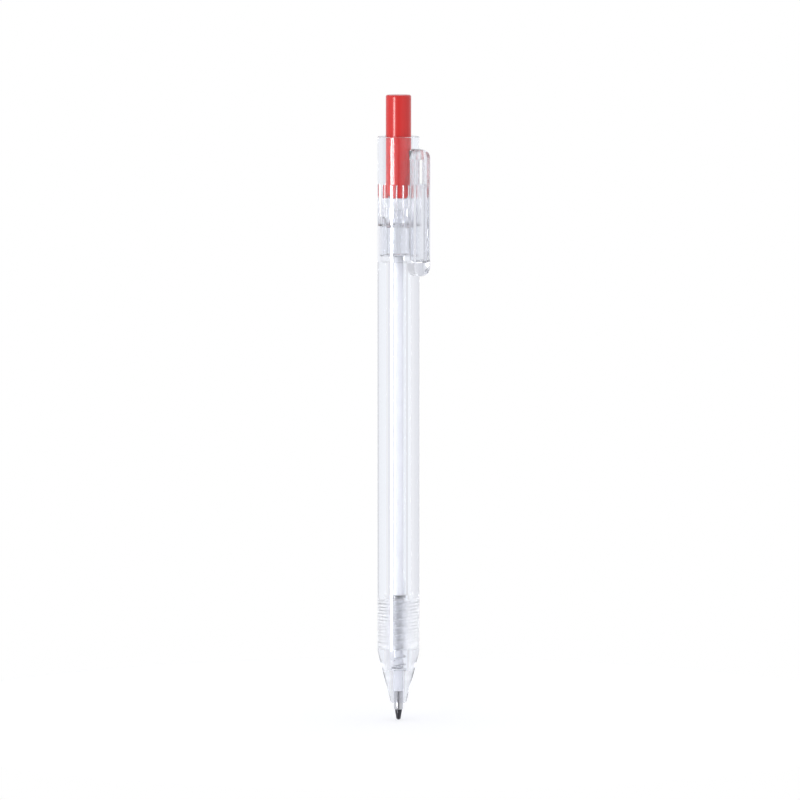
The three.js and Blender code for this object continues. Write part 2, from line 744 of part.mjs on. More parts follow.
const refill = new THREE.Group();
refill.add(
  piece('refill_tube', refillTube(), plastic(0xeceef4, 0.4), refillFoot),
  piece('ink_column', plug(inkTop - inkFoot), plastic(0x14183a, 0.5), inkFoot),
  piece('ink_follower', plug(FOLLOWER_LENGTH), plastic(0xe8dfc4, 0.4), inkTop),
  piece('point_sleeve', pointSleeve(), metal(0xc8cacf, 0.2), CONE_TOP_LEVEL),
  piece('point_cone', pointCone(), metal(0x4a4a4e, 0.35)),
  piece(
    'writing_ball',
    new THREE.SphereGeometry(BALL_RADIUS, BALL_SIDES, BALL_SIDES / 2).rotateX(Math.PI / 2),
    metal(0x8d8f94, 0.15),
    BALL_RADIUS,
  ),
);

const pen = new THREE.Group();
pen.add(shell, clickAction, refill);

export default pen;
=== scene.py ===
"""A clear click ballpoint pen, dressed for rendering round its packed construction.

The pen stands on its point: +Z runs from the ball to the button, and the clip is on the +X side.
Pieces are drawn in millimetres, in the frame's own place, and scaled to metres when they are set.
"""

import logging
import math
from dataclasses import dataclass, field
from enum import Enum
from typing import Callable, Sequence

import bmesh
import bpy
from mathutils import Matrix, Vector


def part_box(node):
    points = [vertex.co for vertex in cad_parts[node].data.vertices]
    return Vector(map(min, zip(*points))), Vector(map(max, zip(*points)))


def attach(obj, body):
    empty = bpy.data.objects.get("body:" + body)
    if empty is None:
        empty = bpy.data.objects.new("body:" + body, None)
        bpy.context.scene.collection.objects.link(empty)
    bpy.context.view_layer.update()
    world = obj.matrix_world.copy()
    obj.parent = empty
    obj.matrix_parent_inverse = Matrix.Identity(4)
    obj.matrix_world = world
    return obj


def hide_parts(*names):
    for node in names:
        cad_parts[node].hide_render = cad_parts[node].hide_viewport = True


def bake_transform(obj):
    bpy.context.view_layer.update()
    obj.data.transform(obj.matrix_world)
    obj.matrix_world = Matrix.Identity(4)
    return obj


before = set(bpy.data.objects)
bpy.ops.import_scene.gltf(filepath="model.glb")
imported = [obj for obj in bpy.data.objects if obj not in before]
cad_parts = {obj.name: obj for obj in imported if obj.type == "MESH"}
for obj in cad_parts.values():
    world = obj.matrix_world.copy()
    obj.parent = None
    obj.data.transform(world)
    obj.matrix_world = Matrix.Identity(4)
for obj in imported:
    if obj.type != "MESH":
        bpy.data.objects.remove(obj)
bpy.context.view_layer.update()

LOG = logging.getLogger("pen")

Pair = tuple[float, float]
Outline = list[Pair]
Colour = tuple[float, float, float]
Height = Callable[[float], float]

MM = 0.001  # in metres
SIDES = 128  # facets of a turned piece
ON_AXIS = 1e-6  # a smaller radius lies on the axis
SHARP = 35.0  # degrees from which an edge counts as sharp
WELD = 0.003  # corners nearer than this become one
PAST = 1.0  # how far a cutting block runs past what it cuts
UPRIGHT = Matrix(((1, 0, 0, 0), (0, 0, 1, 0), (0, 1, 0, 0), (0, 0, 0, 1)))  # drawn from the side
FACING = Matrix(((0, 0, 1, 0), (1, 0, 0, 0), (0, 1, 0, 0), (0, 0, 0, 1)))  # drawn from the front


# Mesh work


class Join(Enum):
    """How one solid is put together with others."""

    ADD = "UNION"
    CUT = "DIFFERENCE"
    KEEP = "INTERSECT"


@dataclass(frozen=True)
class Span:
    """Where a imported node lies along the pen's axis, and how far it reaches from it."""

    foot: float
    top: float
    radius: float


def span(node: str) -> Span:
    """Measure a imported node.

    Args:
        node: Name of the node.

    Returns:
        Its foot and top levels and its radius across the pen, in millimetres.
    """
    low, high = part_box(node)
    foot, top, radius = (round(value / MM, 3) for value in (low.z, high.z, (high.y - low.y) / 2))
    return Span(foot, top, radius)


def polar(radius: float, degrees: float, height: float) -> tuple[float, float, float]:
    """The point at a radius, a direction in degrees and a height."""
    angle = math.radians(degrees)
    return radius * math.cos(angle), radius * math.sin(angle), height


def solid(name: str, points: Sequence[Sequence[float]], faces: Sequence[Sequence[int]]) -> bpy.types.Object:
    """Make an object from points and faces, with its faces turned outwards.

    Args:
        name: Name of the new object.
        points: Corners, in millimetres.
        faces: Corner numbers of each face.

    Returns:
        The new object.
    """
    mesh = bpy.data.meshes.new(name)
    mesh.from_pydata([tuple(point) for point in points], [], [tuple(face) for face in faces])
    work = bmesh.new()
    work.from_mesh(mesh)
    bmesh.ops.recalc_face_normals(work, faces=work.faces)
    work.to_mesh(mesh)
    work.free()
    made = bpy.data.objects.new(name, mesh)
    bpy.context.scene.collection.objects.link(made)
    return made


def arc(radius: float, height: float, size: float, start: float, end: float, steps: int = 4) -> Outline:
    """Outline points of a round corner.

    Args:
        radius: Distance of the corner's centre from the axis.
        height: Height of that centre.
        size: Radius of the corner.
        start: First direction, in degrees.
        end: Last direction, in degrees.
        steps: Number of straight stretches.

    Returns:
        The points from start to end.
    """
    turns = (math.radians(start + (end - start) * i / steps) for i in range(steps + 1))
    return [(radius + size * math.cos(turn), height + size * math.sin(turn)) for turn in turns]


def eased(start: Pair, pull: Pair, end: Pair, steps: int) -> Outline:
    """Outline points of a smooth curve.

    Args:
        start: First point, which the curve leaves towards the pull.
        pull: Point that the curve bends towards.
        end: Last point, at which the curve arrives from the pull.
        steps: Number of straight stretches.

    Returns:
        The points from start to end.
    """
    shares = [i / steps for i in range(steps + 1)]
    return [
        tuple((1 - t) ** 2 * a + 2 * t * (1 - t) * b + t**2 * c for a, b, c in zip(start, pull, end))
        for t in shares
    ]


def turned(name: str, outline: Outline, sides: int = SIDES) -> bpy.types.Object:
    """Turn an outline round the pen's axis.

    Args:
        name: Name of the new object.
        outline: Points of radius and height. It ends on the axis or closes on itself.
        sides: Number of facets.

    Returns:
        The closed round solid.
    """
    points: list[tuple[float, float, float]] = []
    rings: list[list[int]] = []
    for radius, height in outline:
        first = len(points)
        if radius < ON_AXIS:
            points.append((0.0, 0.0, height))
            rings.append([first] * sides)
            continue
        points += [polar(radius, 360 * i / sides, height) for i in range(sides)]
        rings.append(list(range(first, first + sides)))
    if outline[0][0] > ON_AXIS:
        rings.append(rings[0])
    faces = []
    for low, high in zip(rings, rings[1:]):
        for i in range(sides):
            k = (i + 1) % sides
            face = list(dict.fromkeys((low[i], low[k], high[k], high[i])))
            if len(face) > 2:
                faces.append(face)
    return solid(name, points, faces)


def lofted(name: str, loops: Sequence[Sequence[Sequence[float]]]) -> bpy.types.Object:
    """Join equal loops of points, one to the next, and close both ends.

    Args:
        name: Name of the new object.
        loops: The loops, each with the same number of points.

    Returns:
        The closed solid.
    """
    size = len(loops[0])
    faces: list[Sequence[int]] = [
        (k * size + i, k * size + (i + 1) % size, (k + 1) * size + (i + 1) % size, (k + 1) * size + i)
        for k in range(len(loops) - 1)
        for i in range(size)
    ]
    last = (len(loops) - 1) * size
    faces += [range(size), range(last, last + size)]
    return solid(name, [point for loop in loops for point in loop], faces)


def sector(
    name: str, radii: Pair, directions: Pair, foot: Height, top: Height, steps: int = 12
) -> bpy.types.Object:
    """Make a block that lies round the axis.

    Args:
        name: Name of the new object.
        radii: Its inner and outer radius.
        directions: Its first and last direction, in degrees.
        foot: Height of its underside at a direction.
        top: Height of its upper side at a direction.
        steps: Number of straight stretches round the axis.

    Returns:
        The block.
    """
    start, end = directions
    loops = []
    for i in range(steps + 1):
        degrees = start + (end - start) * i / steps
        low, high = foot(degrees), top(degrees)
        corners = ((radii[0], low), (radii[1], low), (radii[1], high), (radii[0], high))
        loops.append([polar(radius, degrees, height) for radius, height in corners])
    return lofted(name, loops)


def level(height: float) -> Height:
    """The same height in every direction."""
    return lambda degrees: height


def around(count: int, first: float, make: Callable[[float], bpy.types.Object]) -> list[bpy.types.Object]:
    """Repeat a block round the axis, from a first direction in degrees."""
    return [make(first + 360 * i / count) for i in range(count)]


def wound(
    name: str, radius: float, path: Sequence[tuple[float, float, float]], section: Outline
) -> bpy.types.Object:
    """Lead a section along a winding line.

    Args:
        name: Name of the new object.
        radius: Radius of the winding line.
        path: Direction in degrees, height and scale of the section at each step.
        section: Points of the section, outwards and upwards from the line.

    Returns:
        The wound solid, closed at both ends.
    """
    loops = [
        [polar(radius + out * scale, degrees, height + up * scale) for out, up in section]
        for degrees, height, scale in path
    ]
    return lofted(name, loops)


def extruded(name: str, outline: Outline, width: float, place: Matrix) -> bpy.types.Object:
    """Give an outline a width, evenly to both sides of its plane, and place it."""
    loops = [[place @ Vector((x, y, side * width / 2)) for x, y in outline] for side in (-1, 1)]
    return lofted(name, loops)


def block(name: str, low: Sequence[float], high: Sequence[float]) -> bpy.types.Object:
    """Make a box.

    Args:
        name: Name of the new object.
        low: Its corner with the least coordinates.
        high: Its corner with the greatest coordinates.

    Returns:
        The box.
    """
    ring = ((0, 0), (1, 0), (1, 1), (0, 1))
    ends = (low, high)
    loops = [[(ends[i][0], ends[k][1], end[2]) for i, k in ring] for end in ends]
    return lofted(name, loops)


def settled(piece: bpy.types.Object) -> bpy.types.Object:
    """Turn a piece's modifiers into its mesh.

    Args:
        piece: The piece.

    Returns:
        The piece, with its new mesh and without modifiers.
    """
    seen = piece.evaluated_get(bpy.context.evaluated_depsgraph_get())
    mesh = bpy.data.meshes.new_from_object(seen)
    piece.modifiers.clear()
    piece.data = mesh
    return piece


def combined(base: bpy.types.Object, others: Sequence[bpy.types.Object], how: Join) -> bpy.types.Object:
    """Put solids together.

    Args:
        base: The solid that is kept.
        others: The solids that are added to it, cut from it or met with it.
        how: Which of these.

    Returns:
        The base, with its new mesh.
    """
    for other in others:
        step = base.modifiers.new(how.name.lower(), "BOOLEAN")
        step.operation = how.value
        step.solver = "MANIFOLD"
        step.object = other
    settled(base)
    for other in others:
        bpy.data.objects.remove(other)
    return base


def eased_edges(piece: bpy.types.Object, width: float, segments: int = 3) -> bpy.types.Object:
    """Round the sharp edges of a piece.

    Args:
        piece: The piece.
        width: How far the round reaches from the edge, in millimetres.
        segments: Number of facets of the round.

    Returns:
        The piece, with its new mesh.
    """
    step = piece.modifiers.new("edges", "BEVEL")
    step.width = width
    step.segments = segments
    step.limit_method = "ANGLE"
    step.angle_limit = math.radians(SHARP)
    return settled(piece)


def welded(piece: bpy.types.Object) -> bpy.types.Object:
    """Join corners that all but meet, and drop the edges and faces that this leaves too short.

    Args:
        piece: The piece, drawn in millimetres.

    Returns:
        The piece, with its new mesh. Long thin faces with their corners in a line can remain.
    """
    work = bmesh.new()
    work.from_mesh(piece.data)
    bmesh.ops.remove_doubles(work, verts=work.verts, dist=WELD)
    bmesh.ops.dissolve_degenerate(work, edges=work.edges, dist=WELD)
    work.to_mesh(piece.data)
    work.free()
    return piece


# Finishes


@dataclass(frozen=True)
class Relief:
    """Fine unevenness of a surface: how small, how deep, how drawn out along the pen, how detailed."""

    grain: float
    depth: float
    along: float = 1.0
    detail: float = 3.0

    def lay(self, tree: bpy.types.NodeTree, normal: bpy.types.NodeSocket) -> None:
        """Lead the unevenness to a shader's normal.

        Args:
            tree: Nodes of the material.
            normal: The shader's normal socket.
        """
        place = tree.nodes.new("ShaderNodeTexCoord")
        scale = tree.nodes.new("ShaderNodeMapping")
        scale.inputs["Scale"].default_value = (1, 1, 1 / self.along)
        noise = tree.nodes.new("ShaderNodeTexNoise")
        noise.inputs["Scale"].default_value = 1 / (self.grain * MM)
        noise.inputs["Detail"].default_value = self.detail
        bump = tree.nodes.new("ShaderNodeBump")
        bump.inputs["Distance"].default_value = self.depth * MM
        tree.links.new(place.outputs["Object"], scale.inputs["Vector"])
        tree.links.new(scale.outputs["Vector"], noise.inputs["Vector"])
        tree.links.new(noise.outputs["Fac"], bump.inputs["Height"])
        tree.links.new(bump.outputs["Normal"], normal)


@dataclass(frozen=True)
class MattBand:
    """A band round the pen's axis, between two levels and two radii, in which a surface is matt."""

    relief: Relief
    foot: float
    top: float
    inner: float
    outer: float

    def within(
        self, tree: bpy.types.NodeTree, value: bpy.types.NodeSocket, middle: float, reach: float
    ) -> bpy.types.NodeSocket:
        """Test how near a value lies to a middle.

        Args:
            tree: Nodes of the material.
            value: The value, in metres.
            middle: The middle, in millimetres.
            reach: How far from the middle still counts, in millimetres.

        Returns:
            A value of 1 within reach and 0 elsewhere.
        """
        test = tree.nodes.new("ShaderNodeMath")
        test.operation = "COMPARE"
        test.inputs[1].default_value = middle * MM
        test.inputs[2].default_value = reach * MM
        tree.links.new(value, test.inputs[0])
        return test.outputs[0]

    def lay(self, tree: bpy.types.NodeTree, normal: bpy.types.NodeSocket) -> None:
        """Add the band's unevenness to what already leads to a shader's normal.

        Args:
            tree: Nodes of the material.
            normal: The shader's normal socket.
        """
        before = normal.links[0].from_node
        place = tree.nodes.new("ShaderNodeTexCoord")
        parts = tree.nodes.new("ShaderNodeSeparateXYZ")
        across = tree.nodes.new("ShaderNodeCombineXYZ")
        length = tree.nodes.new("ShaderNodeVectorMath")
        length.operation = "LENGTH"
        tree.links.new(place.outputs["Object"], parts.inputs[0])
        tree.links.new(parts.outputs["X"], across.inputs["X"])
        tree.links.new(parts.outputs["Y"], across.inputs["Y"])
        tree.links.new(across.outputs[0], length.inputs[0])
        level_middle, level_reach = (self.foot + self.top) / 2, (self.top - self.foot) / 2
        radius_middle, radius_reach = (self.inner + self.outer) / 2, (self.outer - self.inner) / 2
        high = self.within(tree, parts.outputs["Z"], level_middle, level_reach)
        deep = self.within(tree, length.outputs["Value"], radius_middle, radius_reach)
        both = tree.nodes.new("ShaderNodeMath")
        both.operation = "MULTIPLY"
        tree.links.new(high, both.inputs[0])
        tree.links.new(deep, both.inputs[1])
        self.relief.lay(tree, normal)
        bump = normal.links[0].from_node
        tree.links.new(both.outputs[0], bump.inputs["Strength"])
        tree.links.new(before.outputs["Normal"], bump.inputs["Normal"])


@dataclass(frozen=True)
class Finish:
    """A finish with its own name, colour and roughness."""

    name: str
    colour: Colour
    roughness: float
    relief: Relief

    def material(self) -> bpy.types.Material:
        """Make the material.

        Returns:
            The material, under the finish's name.
        """
        made = bpy.data.materials.new(self.name)
        made.use_nodes = True
        shader = made.node_tree.nodes["Principled BSDF"]
        shader.inputs["Base Color"].default_value = (*self.colour, 1)
        shader.inputs["Roughness"].default_value = self.roughness
        self.relief.lay(made.node_tree, shader.inputs["Normal"])
        self.dress(made.node_tree, shader)
        return made

    def dress(self, tree: bpy.types.NodeTree, shader: bpy.types.ShaderNode) -> None:
        """Add what one kind of finish has beyond the others, which is nothing for a plain one."""


@dataclass(frozen=True)
class ClearPlastic(Finish):
    """Clear moulded plastic, which bends light."""

    bend: float = 1.57
    matt: MattBand | None = None

    def dress(self, tree: bpy.types.NodeTree, shader: bpy.types.ShaderNode) -> None:
        """Let light through, and make a band matt where there is one.

        Args:
            tree: Nodes of the material.
            shader: The material's shader.
        """
        if self.matt:
            self.matt.lay(tree, shader.inputs["Normal"])
        shader.inputs["Transmission Weight"].default_value = 1
        shader.inputs["IOR"].default_value = self.bend


@dataclass(frozen=True)
class Plastic(Finish):
    """Opaque plastic whose colour drifts a little, as a moulding's does."""

    drift: float = 0.04
    patch: float = 3.0
    glow: float = 0.0
    glow_depth: float = 0.3

    def dress(self, tree: bpy.types.NodeTree, shader: bpy.types.ShaderNode) -> None:
        """Vary the colour in soft patches and let a little light into the surface.

        Args:
            tree: Nodes of the material.
            shader: The material's shader.
        """
        place = tree.nodes.new("ShaderNodeTexCoord")
        noise = tree.nodes.new("ShaderNodeTexNoise")
        noise.inputs["Scale"].default_value = 1 / (self.patch * MM)
        mix = tree.nodes.new("ShaderNodeMix")
        mix.data_type = "RGBA"
        mix.inputs["A"].default_value = (*(value * (1 - self.drift) for value in self.colour), 1)
        mix.inputs["B"].default_value = (*self.colour, 1)
        tree.links.new(place.outputs["Object"], noise.inputs["Vector"])
        tree.links.new(noise.outputs["Fac"], mix.inputs["Factor"])
        tree.links.new(mix.outputs["Result"], shader.inputs["Base Color"])
        shader.inputs["Subsurface Weight"].default_value = self.glow
        shader.inputs["Subsurface Radius"].default_value = (1, 1, 1)
        shader.inputs["Subsurface Scale"].default_value = self.glow_depth * MM


@dataclass(frozen=True)
class Metal(Finish):
    """Turned or drawn metal, with fine rings from the tool."""

    ring: float = 0.12
    waver: float = 1.5
    smoothest: float = 0.8
    roughest: float = 1.3

    def dress(self, tree: bpy.types.NodeTree, shader: bpy.types.ShaderNode) -> None:
        """Make it metal and vary its roughness in rings round the axis.

        Args:
            tree: Nodes of the material.
            shader: The material's shader.
        """
        shader.inputs["Metallic"].default_value = 1
        place = tree.nodes.new("ShaderNodeTexCoord")
        rings = tree.nodes.new("ShaderNodeTexWave")
        rings.bands_direction = "Z"
        rings.inputs["Scale"].default_value = 1 / (self.ring * MM)
        rings.inputs["Distortion"].default_value = self.waver
        spread = tree.nodes.new("ShaderNodeMapRange")
        spread.inputs["To Min"].default_value = self.roughness * self.smoothest
        spread.inputs["To Max"].default_value = self.roughness * self.roughest
        tree.links.new(place.outputs["Object"], rings.inputs["Vector"])
        tree.links.new(rings.outputs["Fac"], spread.inputs["Value"])
        tree.links.new(spread.outputs["Result"], shader.inputs["Roughness"])


MOULDED = Relief(grain=1.6, depth=0.0006, along=6)
FROSTED = Relief(grain=0.5, depth=0.01)
DRAWN = Relief(grain=0.25, depth=0.004, along=12)
MACHINED = Relief(grain=0.2, depth=0.003)
THREAD_MATT = MattBand(Relief(grain=0.25, depth=0.17), foot=16.7, top=28.1, inner=2.8, outer=3.6)
CLIP_MATT = MattBand(Relief(grain=0.25, depth=0.06), foot=122.5, top=132.0, inner=4.85, outer=8.6)

CLEAR_NOSE = ClearPlastic("clear_nose", (0.95, 0.955, 0.975), 0.06, MOULDED, matt=THREAD_MATT)
CLEAR_BARREL = ClearPlastic("clear_barrel", (0.98, 0.985, 0.995), 0.015, MOULDED, matt=THREAD_MATT)
CLEAR_HOUSING = ClearPlastic("clear_housing", (0.965, 0.97, 0.985), 0.03, MOULDED)
# The clip's clear plastic is tinted darker than the housing it is moulded with: painted shade for the grey it
# shows. Its rougher, matt finish is real.
CLEAR_CLIP_PAINTED_SHADE = ClearPlastic("clear_clip", (0.89, 0.895, 0.92), 0.15, MOULDED, matt=CLIP_MATT)
CLEAR_PUSHER = ClearPlastic("clear_pusher", (0.94, 0.945, 0.965), 0.05, MOULDED)
CLEAR_ROTOR = ClearPlastic("clear_rotor", (0.98, 0.983, 0.99), 0.12, FROSTED, bend=1.35)
RED_BUTTON = Plastic("red_button", (0.6, 0.024, 0.021), 0.22, MOULDED, glow=0.03)
WHITE_TUBE = Plastic("white_tube", (0.75, 0.76, 0.8), 0.35, DRAWN, glow=0.3)
INK = Plastic("ink", (0.02, 0.022, 0.06), 0.4, FROSTED)
GREASE = Plastic("follower_grease", (0.8, 0.74, 0.55), 0.3, FROSTED)
SPRING_STEEL = Metal("spring_steel", (0.68, 0.69, 0.71), 0.2, DRAWN)
BRIGHT_METAL = Metal("bright_metal", (0.72, 0.72, 0.74), 0.18, MACHINED)
DARK_METAL = Metal("dark_metal", (0.09, 0.09, 0.1), 0.34, MACHINED)
CARBIDE = Metal("ball_carbide", (0.4, 0.4, 0.42), 0.12, MACHINED)


def set_piece(piece: bpy.types.Object, body: str, node: str, finish: Finish) -> bpy.types.Object:
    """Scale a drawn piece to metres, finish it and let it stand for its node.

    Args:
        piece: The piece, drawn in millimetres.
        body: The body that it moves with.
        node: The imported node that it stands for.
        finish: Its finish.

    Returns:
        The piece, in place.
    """
    welded(piece).data.transform(Matrix.Scale(MM, 4))
    piece.data.shade_smooth()
    piece.data.set_sharp_from_angle(angle=math.radians(SHARP))
    weigh = piece.modifiers.new("normals", "WEIGHTED_NORMAL")
    weigh.keep_sharp = True
    settled(piece)
    piece.data.materials.clear()
    piece.data.materials.append(finish.material())
    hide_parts(node)
    if body:
        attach(piece, body)
    LOG.info("%s stands for %s, %d faces", piece.name, node, len(piece.data.polygons))
    return piece


# Sizes that two or more pieces share


@dataclass(frozen=True)
class Fits:
    """Radii and levels where pieces meet, in millimetres and degrees."""

    refill: float = 1.12
    refill_bore: float = 0.77
    plug: float = 0.72
    barrel_bore: float = 1.85
    spring_chamber: float = 2.1
    thread_root: float = 3.12
    fit_gap: float = 0.05
    seam_gap: float = 0.015
    rim_bore: float = 4.3
    groove: float = 3.8
    guide_bore: float = 3.05
    fin_tip: float = 3.55
    ribs: int = 8
    rib_turn: float = 5.0
    rib_width: float = 22.5
    fin_inset: float = 1.25
    fin_width: float = 9.0
    fin_peak: float = 115.2
    lead: float = 5 / 22.5

    def fin_edge(self, direction: float) -> float:
        """Direction of a rotor fin's side that lies nearest the middle of its rib."""
        return direction - self.fin_inset

    def fin_top(self, direction: float, degrees: float) -> float:
        """Height of a rotor fin's sloped top at a direction."""
        return self.fin_peak - (degrees - self.fin_edge(direction) + self.fin_width) * self.lead


FITS = Fits()


@dataclass(frozen=True)
class Thread:
    """The screw thread between the nose cone and the barrel."""

    foot: float = 17.36
    pitch: float = 0.74
    turns: float = 13.75
    depth: float = 0.07
    sink: float = 0.2
    half: float = 0.34
    facets: int = 8
    steps: int = 64
    fade: float = 0.4
    least: float = 0.2

    def ridge(self, name: str, gap: float) -> bpy.types.Object:
        """Make the ridge.

        Args:
            name: Name of the new object.
            gap: How much larger than the ridge it is drawn, to cut the groove for it.

        Returns:
            The ridge, sunk a little into its core.
        """
        half = self.half + gap / 2
        section = [(-self.sink, -half)]
        for i in range(self.facets + 1):
            share = 2 * i / self.facets - 1
            section.append((self.depth * (1 + math.cos(math.pi * share)) / 2, half * share))
        section.append((-self.sink, half))
        overrun = 1 if gap else 0
        path = []
        for i in range(-overrun, int(self.turns * self.steps) + overrun + 1):
            turn = i / self.steps
            near_end = min(turn, self.turns - turn) / self.fade
            scale = min(1.0, self.least + (1 - self.least) * max(near_end, 0.0))
            path.append((360 * turn, self.foot + turn * self.pitch, scale))
        return wound(name, FITS.thread_root + gap, path, section)


THREAD = Thread()


# Sub-assemblies


@dataclass
class NoseCone:
    """The screwed nose cone: a tapered shell with a threaded spigot and the spring's chamber."""

    place: Span = field(default_factory=lambda: span("nose_cone"))
    seam: float = field(default_factory=lambda: span("barrel").foot)
    lip: float = 1.52
    lip_round: float = 0.3
    lip_length: float = 1.03
    mouth: float = 1.185
    bore: float = 1.3
    seat: float = 11.75
    shoulder: float = 4.16
    shoulder_drop: float = 3.35
    shoulder_ease: float = 1.1
    chamfer: float = 0.1

    def build(self) -> None:
        """Make and set the nose cone."""
        foot, top, outer = self.place.foot, self.place.top, self.place.radius
        edge = self.chamfer
        shoulder = eased(
            (self.shoulder, self.seam - self.shoulder_drop),
            (outer, self.seam - self.shoulder_ease),
            (outer, self.seam),
            steps=14,
        )
        outline = [
            (self.mouth, foot + edge),
            (self.mouth + edge, foot),
            *arc(self.lip, foot + self.lip_round, self.lip_round, -90, 0),
            *shoulder,
            (FITS.thread_root, self.seam),
            (FITS.thread_root, top - edge),
            (FITS.thread_root - edge, top),
            (FITS.spring_chamber + edge, top),
            (FITS.spring_chamber, top - edge),
            (FITS.spring_chamber, self.seat),
            (self.bore, self.seat),
            (self.bore, foot + self.lip_length),
            (self.mouth, foot + self.lip_length),
        ]
        cone = combined(turned("nose_cone_shell", outline), [THREAD.ridge("thread_ridge", 0)], Join.ADD)
        set_piece(cone, "shell", "nose_cone", CLEAR_NOSE)


@dataclass
class Barrel:
    """The thick clear barrel, with the thread below and the rotor's chamber above."""

    place: Span = field(default_factory=lambda: span("barrel"))
    spigot_top: float = field(default_factory=lambda: span("nose_cone").top)
    rotor_floor: float = 105.5
    housing_spigot: float = 7.0
    end_gap: float = 0.3
    rim_gap: float = 0.12
    relief: float = 0.8
    chamfer: float = 0.14

    def build(self) -> None:
        """Make and set the barrel."""
        top, outer, edge = self.place.top, self.place.radius, self.chamfer
        foot = self.place.foot + FITS.seam_gap
        thread = FITS.thread_root + FITS.fit_gap
        floor = self.spigot_top + self.end_gap
        rim = top - self.housing_spigot - self.rim_gap
        outline = [
            (thread, foot),
            (thread, floor),
            (FITS.spring_chamber, floor),
            (FITS.spring_chamber, floor + self.relief),
            (FITS.barrel_bore, floor + self.relief),
            (FITS.barrel_bore, self.rotor_floor),
            (FITS.groove, self.rotor_floor),
            (FITS.groove, rim),
            (FITS.rim_bore, rim),
            (FITS.rim_bore, top),
            (outer - edge, top),
            (outer, top - edge),
            (outer, foot),
        ]
        groove = THREAD.ridge("thread_groove", FITS.fit_gap)
        tube = combined(turned("barrel_tube", outline), [groove], Join.CUT)
        set_piece(tube, "shell", "barrel", CLEAR_BARREL)


@dataclass
class Clip:
    """The clip's strap, drawn from the side and from the front."""

    foot: float = 102.5
    top: float = 131.5
    back: float = 5.95
    front: float = 7.9
    pad: float = 5.12
    width: float = 4.55
    face: float = 1.0
    flange: float = 0.58
    bridge: float = 2.3
    bridge_width: float = 2.4
    corner: float = 0.8
    tip: float = 0.7
    pad_length: float = 3.0
    pad_ramp: float = 1.2
    hollow_slope: float = -0.9
    window_width: float = 2.2
    window_length: float = 5.6
    inner_round: float = 0.35
    rim: float = 0.35
    edge: float = 0.08

    def side(self) -> Outline:
        """Draw the clip from the side.

        Returns:
            Its outline, as radius and height.
        """
        under, tip, inner = self.top - self.bridge, self.tip, self.inner_round
        return [
            (FITS.groove, under),
            *arc(self.back - inner, under - inner, inner, 90, 0),
            (self.back, self.foot + self.pad_length + tip),
            (self.pad, self.foot + self.pad_length),
            *arc(self.pad + tip, self.foot + tip, tip, 180, 270),
            *arc(self.front - tip, self.foot + tip, tip, 270, 360),
            *arc(self.front - self.corner, self.top - self.corner, self.corner, 0, 90, steps=10),
            (FITS.groove, self.top),
        ]

    def face_outline(self) -> Outline:
        """Draw the clip from the front.

        Returns:
            Its outline, as width and height.
        """
        half = self.width / 2
        upper = arc(0, self.top - half, half, 0, 180, steps=24)
        lower = arc(0, self.foot + half, half, 180, 360, steps=24)
        return upper + lower

    def build(self) -> bpy.types.Object:
        """Make the strap, round in outline and at its rim, with what is cut out of it.

        Returns:
            The clip, with the bridge that joins it to the housing.
        """
        strap = extruded("clip_strap", self.side(), 2 * self.width, UPRIGHT)
        front = extruded("clip_front", self.face_outline(), 4 * self.front, FACING)
        eased_edges(combined(strap, [front], Join.KEEP), self.rim, segments=6)
        combined(strap, self.openings(), Join.CUT)
        return eased_edges(strap, self.edge)

    def openings(self) -> list[bpy.types.Object]:
        """Make the blocks that are cut out of the strap.

        Returns:
            The hollow between the flanges, the window, and the room on both sides of the bridge.
        """
        under = self.top - self.bridge
        inside = self.width / 2 - self.flange
        pad_top = self.foot + self.pad_length + self.pad_ramp
        rear = self.back - PAST
        floor = self.front - self.face
        section = [(rear, pad_top), (floor, pad_top + self.hollow_slope), (floor, under), (rear, under)]
        hollow = extruded("clip_hollow", section, 2 * inside, UPRIGHT)
        window = block(
            "clip_window",
            (rear, -self.window_width / 2, under - self.window_length),
            (self.front + PAST, self.window_width / 2, under),
        )
        half = self.bridge_width / 2
        beside = [
            block(
                "beside_bridge",
                (FITS.groove - PAST, start, under - PAST),
                (self.back, end, self.top + PAST),
            )
            for start, end in ((-self.width, -half), (half, self.width))
        ]
        return [hollow, window, *beside]


